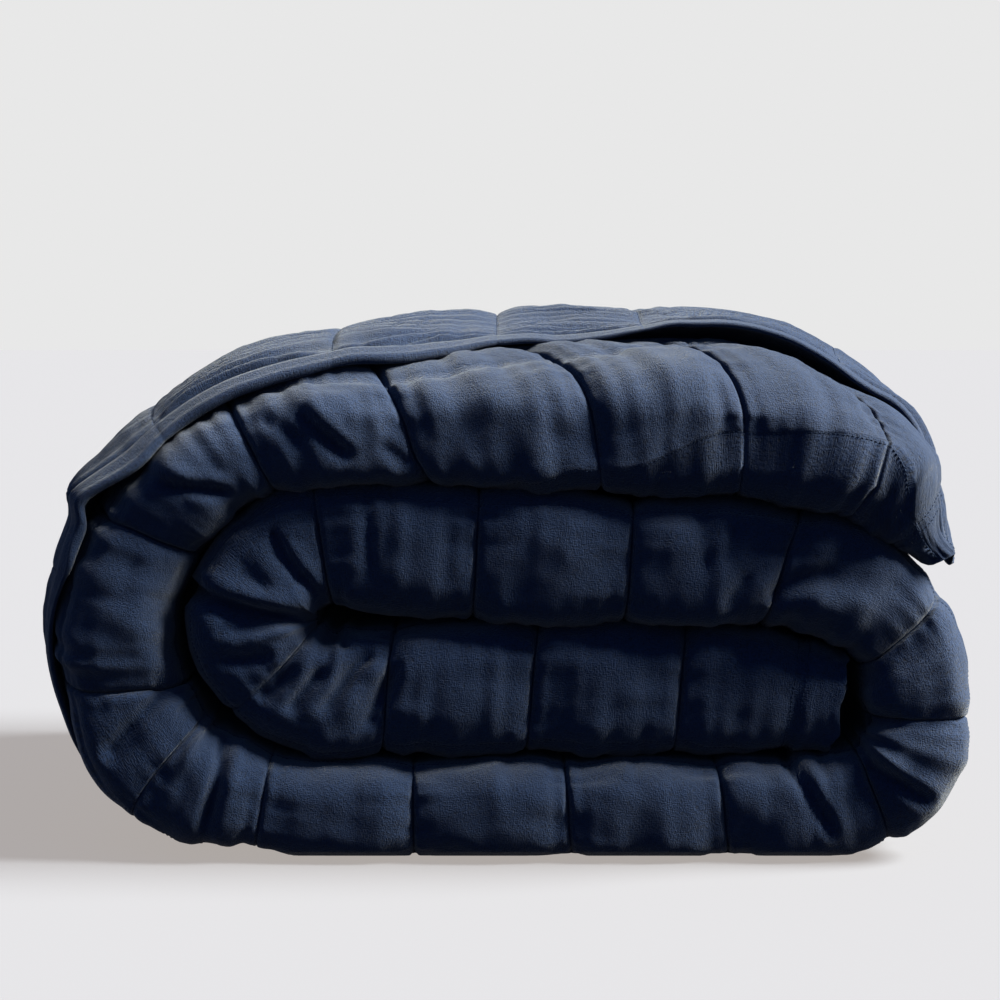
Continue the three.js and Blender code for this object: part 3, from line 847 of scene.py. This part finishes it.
def creased(points):
    """Height that CREASES adds: a valley exp(-(d/w)^2), d from the crease and w its half-width,
    with a softer lip beside it. Both die out towards the crease's ends."""
    x, z = front_view(points)
    height = np.zeros_like(x)
    t = np.linspace(0, 1, CREASE_STEPS + 1)
    for x0, z0, x1, z1, x2, z2, width, depth, lip in CREASES:
        line_x = through(x0, x1, x2, t)
        line_z = through(z0, z1, z2, t)
        reach = CREASE_REACH * width
        near = np.nonzero(
            (x > line_x.min() - reach) & (x < line_x.max() + reach)
            & (z > line_z.min() - reach) & (z < line_z.max() + reach)
        )
        best = np.full(len(near[0]), 1e9)
        side = np.zeros_like(best)
        place = np.zeros_like(best)
        for i in range(CREASE_STEPS):
            run_x = line_x[i + 1] - line_x[i]
            run_z = line_z[i + 1] - line_z[i]
            from_x = x[near] - line_x[i]
            from_z = z[near] - line_z[i]
            length = math.hypot(run_x, run_z)
            f = np.clip((from_x * run_x + from_z * run_z) / length**2, 0, 1)
            away = np.hypot(from_x - f * run_x, from_z - f * run_z)
            cross = (run_x * from_z - run_z * from_x) / length
            closer = away < best
            best = np.where(closer, away, best)
            side = np.where(closer, cross, side)
            place = np.where(closer, (i + f) / CREASE_STEPS, place)
        fade = smoothstep(place, 0, CREASE_FADE) * (1 - smoothstep(place, 1 - CREASE_FADE, 1))
        valley = -depth * np.exp(-((best / width) ** 2))
        from_lip = (side * lip - LIP_AWAY * width) / (LIP_WIDTH * width)
        ridge = LIP_HEIGHT * abs(lip) * depth * np.exp(-(from_lip**2))
        height[near] += (valley + ridge * (best < reach)) * fade
    return height


def swollen(points):
    """Height that SWELLS adds: a soft bump of each size and place."""
    x, z = front_view(points)
    return sum(
        height * np.exp(-(((x - at_x) / wide) ** 2) - ((z - at_z) / tall) ** 2)
        for at_x, at_z, wide, tall, height in SWELLS
    )


# The quilt's lengths

def new_piece(name, points, faces):
    """A smooth mesh in the shared frame, as an object at the origin."""
    mesh = bpy.data.meshes.new(name)
    mesh.from_pydata(((points + TO_FRAME) * MM).reshape(-1, 3).tolist(), [], faces)
    mesh.polygons.foreach_set("use_smooth", [True] * len(mesh.polygons))
    piece = bpy.data.objects.new(name, mesh)
    bpy.context.scene.collection.objects.link(piece)
    return piece


def shaped(grid):
    """The finished surface: the crowned one with the uneven inner end, moved out by its relief,
    creases and swells, with the flap's corner hanging and the front edge clear of the floor."""
    normal = smooth_cross(grid.points)
    uneven = cloudy(grid.across * SQUARE / INNER_END_WAVE, 0.5, 31)
    further = INNER_END_REACH + INNER_END_WAVES * uneven
    grid.points[:, :, 0] += further * (1 - smoothstep(grid.here, 0, INNER_END_FADE))
    by_hand = creased(grid.points) + swollen(grid.points)
    height = relief(grid) + np.where(grid.kinds == "fold", by_hand, 0)
    points = grid.points + normal * height[:, :, None]
    behind = points[:, :, 1] - FRONT
    flap = np.isin(grid.kinds, ("under", "edge", "hem", "flap"))
    hangs = flap * smoothstep(CORNER_DEPTH - behind, 0, CORNER_FULL)
    hangs = hangs * smoothstep(-grid.from_end, -CORNER_LENGTH, 0) ** 2
    points += CORNER_HANG * hangs[:, :, None]
    raised = FRONT_CLEAR * (1 - smoothstep(points[:, :, 1], FRONT, FRONT + CLEAR_REACH))
    points[:, :, 2] = np.maximum(points[:, :, 2], raised)
    return points


def end_caps(grid, first, last):
    """Triangles that close the quilt's own ends, filled in on the flat section."""
    count, width = grid.across.shape
    caps = []
    for seam, ring in ((0, 0), (LAST_SEAM, count - 1)):
        if seam in (first, last):
            section = zip(grid.points[ring, :, 1], grid.out[ring])
            outline = [Vector((y, out, 0)) for y, out in section]
            triangles = np.array(tessellate_polygon([outline])) + ring * width
            caps += (triangles if ring == 0 else triangles[:, ::-1]).tolist()
    return caps


def lay_cloth_map(piece, grid):
    """A map of the cloth, in metres, for its weave: the length along the roll, and the girth of
    the middle station."""
    middle = grid.points[len(grid.points) // 2]
    girth = np.cumsum(np.linalg.norm(middle - np.roll(middle, 1, axis=0), axis=1))
    flat = np.stack([grid.here + 0 * grid.across, girth + 0 * grid.across], axis=2) * MM
    layer = piece.data.uv_layers.new(name="cloth")
    corner = np.empty(len(piece.data.loops), np.int32)
    piece.data.loops.foreach_get("vertex_index", corner)
    layer.data.foreach_set("uv", flat.reshape(-1, 2)[corner].ravel())


def quilt_length(name, first, last, flap_count, fold_count):
    """One length of the quilt between two seams, as an object, and its grid for the stitches."""
    grid = cloth_grid(first, last, flap_count, fold_count)
    grid.points = shaped(grid)
    grid.normal = smooth_cross(grid.points)
    count, width = grid.across.shape
    i, j = np.meshgrid(np.arange(count - 1), np.arange(width), indexing="ij")
    a = (i * width + j).ravel()
    b = (i * width + (j + 1) % width).ravel()
    faces = np.stack([a, a + width, b + width, b], axis=1).tolist()
    piece = new_piece(name, grid.points, faces + end_caps(grid, first, last))
    lay_cloth_map(piece, grid)
    return piece, grid


# Stitching

STITCH = 2.1  # length of a stitch
STITCH_PITCH = 3.0  # from one stitch to the next
THREAD = 0.38  # half the thread's width
THREAD_RISE = 0.5  # the thread's middle above the cloth, in THREADs
THREAD_SINK = 0.4  # the stitch's points below the cloth
THREAD_TAPER = 0.3  # from a point to the thread's full width
STITCH_FLOOR = 10.0  # the cloth rests on its stitches below this height, and they don't show
ROW_REACH = 3.0  # most distance from topstitching to the station that carries it
ON_SEAM = 1e-6  # a whole number, but for rounding
# A stitch has a point, two triangles of three corners, and a point.
STITCH_FACES = np.array([
    (0, 1, 2), (0, 2, 3), (0, 3, 1),
    (1, 4, 5), (1, 5, 2), (2, 5, 6), (2, 6, 3), (3, 6, 4), (3, 4, 1),
    (4, 7, 5), (5, 7, 6), (6, 7, 4),
])


def seam_lines(grid):
    """Each seam of a length of the quilt as a line of points with their normals: across the
    roll at whole seam numbers, along it between the squares, and the rows of topstitching."""
    columns = [np.nonzero(grid.kinds == kind)[0] for kind in ("fold", "flap", "back")]
    seam = grid.seam[:, 0]
    on_seam = np.abs(seam - np.round(seam)) < ON_SEAM
    rows = [row for row in np.nonzero(on_seam)[0] if 0 < round(seam[row]) < LAST_SEAM]
    lines = [(grid.points[row, kind], grid.normal[row, kind]) for row in rows for kind in columns]
    across = grid.across[len(grid.across) // 2]
    for column in np.concatenate(columns):
        if abs(across[column] - round(across[column])) < ON_SEAM:
            lines.append((grid.points[:, column], grid.normal[:, column]))
    for inset in END_ROWS:
        away = np.abs(grid.from_end[:, 0] - inset)
        row = np.argmin(away)
        if away[row] < ROW_REACH:
            lines += [(grid.points[row, kind], grid.normal[row, kind]) for kind in columns]
    return lines


def on_line(distance, length, values):
    """Values at a distance along a line, read between its two nearest points."""
    return np.stack([np.interp(distance, length, values[:, k]) for k in range(3)], axis=1)


def stitches(name, lines):
    """Short three-sided stitches along the seams, pointed at both ends where they go in."""
    corners, faces = [], []
    count = 0
    for points, normals in lines:
        step = np.linalg.norm(np.diff(points, axis=0), axis=1)
        length = np.concatenate([[0], np.cumsum(step)])
        starts = np.arange(STITCH_PITCH / 2, length[-1] - STITCH_PITCH, STITCH_PITCH)
        starts = starts[np.interp(starts, length, points[:, 2]) > STITCH_FLOOR]
        if len(starts) == 0:
            continue
        first = on_line(starts, length, points)
        last = on_line(starts + STITCH, length, points)
        up = on_line(starts + STITCH / 2, length, normals)
        way = (last - first) / STITCH
        side = np.cross(way, up)
        around = [
            side * math.cos(angle) + up * (math.sin(angle) + THREAD_RISE)
            for angle in (math.pi / 2, math.pi * 7 / 6, math.pi * 11 / 6)
        ]
        near = [first + THREAD_TAPER * way + THREAD * corner for corner in around]
        far = [last - THREAD_TAPER * way + THREAD * corner for corner in around]
        sunk = THREAD_SINK * up
        block = np.stack([first - sunk, *near, *far, last - sunk], axis=1)
        corners.append(block.reshape(-1, 3))
        starts_at = count + block.shape[1] * np.arange(len(block))[:, None, None]
        faces.append((starts_at + STITCH_FACES[None]).reshape(-1, 3))
        count += len(corners[-1])
    return new_piece(name, np.vstack(corners), np.vstack(faces).tolist())


# Materials

THREAD_WIDTH = 0.7  # of the linen, drawn coarser than its real 0.4 mm so that the weave shows
SLUB = 3.0  # length of a thick place in a linen thread
FUZZ = 0.9091  # grain of the fuzz, also drawn coarser than it is
WASH_CREASE = 13.333  # from one crease of the wash to the next
DYE_PATCH = 111.11  # patches of lighter and darker dye
TWIST = 0.7  # twist of the sewing thread


def linear(hex_colour):
    """A sRGB hex colour as linear RGBA."""
    srgb = [int(hex_colour[i:i + 2], 16) / 255 for i in (1, 3, 5)]
    return [c / 12.92 if c <= 0.04045 else ((c + 0.055) / 1.055) ** 2.4 for c in srgb] + [1]


class Nodes:
    """A material's nodes, added with their settings and links in one call."""

    def __init__(self, name):
        self.material = bpy.data.materials.new(name)
        self.material.use_nodes = True
        self.tree = self.material.node_tree
        self.shader = self.tree.nodes["Principled BSDF"]

    def add(self, kind, settings=(), stops=(), **inputs):
        """A node with its settings, the (place, colour) stops of a ramp, and its inputs."""
        node = self.tree.nodes.new("ShaderNode" + kind)
        for key, value in dict(settings).items():
            setattr(node, key, value)
        for i, (place, colour) in enumerate(stops):
            node.color_ramp.elements[i].position = place
            node.color_ramp.elements[i].color = linear(colour)
        self.feed(node, **inputs)
        return node

    def feed(self, node, **inputs):
        """Links or sets a node's inputs: _0 is the first one, From_Min the one so called."""
        for key, value in inputs.items():
            name = int(key[1:]) if key[0] == "_" else key.replace("_", " ")
            if isinstance(value, bpy.types.NodeSocket):
                self.tree.links.new(value, node.inputs[name])
            else:
                node.inputs[name].default_value = value


def washed_linen():
    """Navy washed linen: a plain weave with uneven, slubby threads both ways, fine creases
    from washing, a slightly uneven dye, and the soft bloom of its fuzz. It looks matt and dark,
    with a fine grain, and a little paler where it turns away."""
    n = Nodes("washed_linen")
    cloth = n.add("UVMap", {"uv_map": "cloth"}).outputs["UV"]
    flat = {"noise_dimensions": "2D"}

    def threads(across, along):
        """Threads of one direction: noise in cells as wide and long as a slub."""
        scale = (1 / (across * MM), 1 / (along * MM), 1)
        stretched = n.add("Mapping", Vector=cloth, Scale=scale).outputs["Vector"]
        noise_node = n.add("TexNoise", flat, Vector=stretched, Scale=1.0, Detail=2.0, Roughness=0.6)
        return noise_node.outputs["Fac"]

    warp = threads(THREAD_WIDTH, SLUB)
    weft = threads(SLUB, THREAD_WIDTH)
    weave = n.add("Math", {"operation": "ADD"}, _0=warp, _1=weft).outputs[0]
    fuzz = n.add("TexNoise", flat, Vector=cloth, Scale=1 / (FUZZ * MM), Detail=1.0).outputs["Fac"]
    creases = n.add("TexNoise", flat, Vector=cloth, Scale=1 / (WASH_CREASE * MM), Detail=5.0,
                    Roughness=0.6, Distortion=0.6).outputs["Fac"]
    dye = n.add("TexNoise", flat, Vector=cloth, Scale=1 / (DYE_PATCH * MM), Detail=4.0)
    slub = n.add("MapRange", Value=weave, From_Min=0.6, From_Max=1.4).outputs[0]
    grain = n.add("Math", {"operation": "MULTIPLY_ADD"}, _0=fuzz, _1=0.5, _2=slub).outputs[0]
    tone = n.add("Math", {"operation": "MULTIPLY_ADD"}, _0=dye.outputs["Fac"], _1=0.3, _2=grain)
    colour = n.add("ValToRGB", stops=((0.45, "#030c1e"), (1.0, "#0a1b36")), Fac=tone.outputs[0])
    coarse = n.add("Bump", Height=creases, Strength=0.45, Distance=1.8 * MM).outputs["Normal"]
    fine = n.add("Bump", Height=grain, Strength=0.7, Distance=0.8 * MM, Normal=coarse)
    n.feed(n.shader, Base_Color=colour.outputs["Color"], Normal=fine.outputs["Normal"],
           Roughness=0.88, Sheen_Weight=0.15, Sheen_Roughness=0.45,
           Sheen_Tint=linear("#cfd2d6"), IOR=1.4, Specular_IOR_Level=0.2)
    return n.material


def sewing_thread():
    """Navy cotton thread: a fine, tight twist, so it looks a little lighter than the linen and
    has no bloom."""
    n = Nodes("sewing_thread")
    place = n.add("TexCoord").outputs["Object"]
    twist = n.add("TexNoise", Vector=place, Scale=1 / (TWIST * MM), Detail=2.0).outputs["Fac"]
    colour = n.add("ValToRGB", stops=((0.0, "#0b1322"), (1.0, "#1a2740")), Fac=twist)
    n.feed(n.shader, Base_Color=colour.outputs["Color"], Roughness=0.9, Specular_IOR_Level=0.1)
    return n.material


def studio_matt(name, colour, glow_colour, glow):
    """A fully matt surface of the studio, with light of its own."""
    n = Nodes(name)
    n.feed(n.shader, Base_Color=linear(colour), Roughness=1.0, Specular_IOR_Level=0.0,
           Emission_Color=linear(glow_colour), Emission_Strength=glow)
    return n.material


def floor_paper():
    """Grey studio paper, lit through from below: a pale floor, whose shadows stay light."""
    return studio_matt("floor_paper", "#40434c", "#fff6f0", FLOOR_GLOW)


def backdrop_paper():
    """Studio paper that is only lit through from behind: an even, pale wall."""
    return studio_matt("backdrop_paper", "#000000", "#ffffff", BACKDROP_GLOW)


def black_velvet():
    """Black velvet, which gives back no light at all."""
    return studio_matt("black_cloth", "#000000", "#000000", 0.0)


# Camera, light and floor. Sizes here are metres.

FAR = 30.0  # the backdrop, behind the quilt
WIDE = 40.0  # half the width of floor and backdrop
TALL = 6.0
BLACK_CLOTH_DEPTH = 0.01  # under the floor
SENSOR = 36.0  # mm
KEY_LIGHT = 34.0  # strength of the key light
KEY_ANGLE = 30.0  # degrees that the key light spans, which makes its shadow soft
KEY_DIRECTION = (0.74, -0.01, 0.67)  # from the quilt to the key light
ROOM_LIGHT = 0.45  # strength of the light from all round
FLOOR_GLOW = 0.42  # sets the floor's shadows; the key light adds the rest of its lightness
BACKDROP_GLOW = 0.807  # as light as the floor where the two meet


def make_camera():
    """A camera that stands DISTANCE from the crest at EYE_HEIGHT and looks down at AIM. Its
    lens is as long as makes the sensor span VIEW_WIDTH at the crest."""
    rise = math.asin((EYE_HEIGHT - AIM[1]) / DISTANCE)
    camera = bpy.data.cameras.new("camera")
    camera.sensor_width = SENSOR
    camera.lens = camera.sensor_width * DISTANCE / VIEW_WIDTH
    holder = bpy.data.objects.new("camera", camera)
    place = np.array([AIM[0], CREST - DISTANCE * math.cos(rise), EYE_HEIGHT]) + TO_FRAME
    holder.location = place * MM
    holder.rotation_euler = (math.pi / 2 - rise, 0, 0)
    bpy.context.scene.collection.objects.link(holder)
    bpy.context.scene.camera = holder


def plate(name, corners, material):
    """A flat piece of the stage, which doesn't light the cloth."""
    mesh = bpy.data.meshes.new(name)
    mesh.from_pydata(corners, [], [(0, 1, 2, 3)])
    piece = bpy.data.objects.new(name, mesh)
    piece.data.materials.append(material)
    bpy.context.scene.collection.objects.link(piece)
    piece.visible_diffuse = False
    return piece


def level(far, height):
    """Corners of a level plate that reaches this far back."""
    sides = ((-WIDE, -WIDE), (WIDE, -WIDE), (WIDE, far), (-WIDE, far))
    return [(x, y, height) for x, y in sides]


def make_stage():
    """A pale floor and a far backdrop of the same lightness, a dim room, and one large light
    high on the right, whose soft shadow falls to the left."""
    plate("floor", level(FAR, 0), floor_paper())
    upright = [(-WIDE, FAR, 0), (WIDE, FAR, 0), (WIDE, FAR, TALL), (-WIDE, FAR, TALL)]
    backdrop = plate("backdrop", upright, backdrop_paper())
    backdrop.visible_shadow = False
    # A black cloth under the floor, which keeps the room's light from reaching the quilt from
    # below, because the floor lets that light through.
    black_cloth = plate("black_cloth", level(WIDE, -BLACK_CLOTH_DEPTH), black_velvet())
    black_cloth.visible_diffuse = True
    black_cloth.visible_camera = False
    black_cloth.visible_shadow = False

    world = bpy.data.worlds.new("studio")
    bpy.context.scene.world = world
    world.use_nodes = True
    room = world.node_tree.nodes["Background"]
    room.inputs["Color"].default_value = linear("#8cbcff")
    room.inputs["Strength"].default_value = ROOM_LIGHT

    lamp = bpy.data.lights.new("key", "SUN")
    lamp.energy = KEY_LIGHT
    lamp.angle = math.radians(KEY_ANGLE)
    lamp.color = linear("#fffbe6")[:3]
    holder = bpy.data.objects.new("key", lamp)
    holder.rotation_euler = Vector(KEY_DIRECTION).to_track_quat("Z", "Y").to_euler()
    bpy.context.scene.collection.objects.link(holder)


# Assembly

bpy.context.scene.view_settings.view_transform = "Standard"
make_camera()
make_stage()
linen = washed_linen()
seams = []
# Name, first and last seam, and how fine the grid is: columns to a square of the flap and of
# the front fold.
for name, first, last, flap_count, fold_count in (
    ("quilt_inner", 0, 10, 12, 40),
    ("quilt_underside", 10, 17, 20, 40),
    ("quilt_outer", 17, LAST_SEAM, 26, 44),
):
    piece, grid = quilt_length(name, first, last, flap_count, fold_count)
    seams += seam_lines(grid)
    piece.data.materials.append(linen)
    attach(piece, "root")
    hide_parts("quilt")

sewing = stitches("stitching", seams)
sewing.data.materials.append(sewing_thread())
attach(sewing, "root")
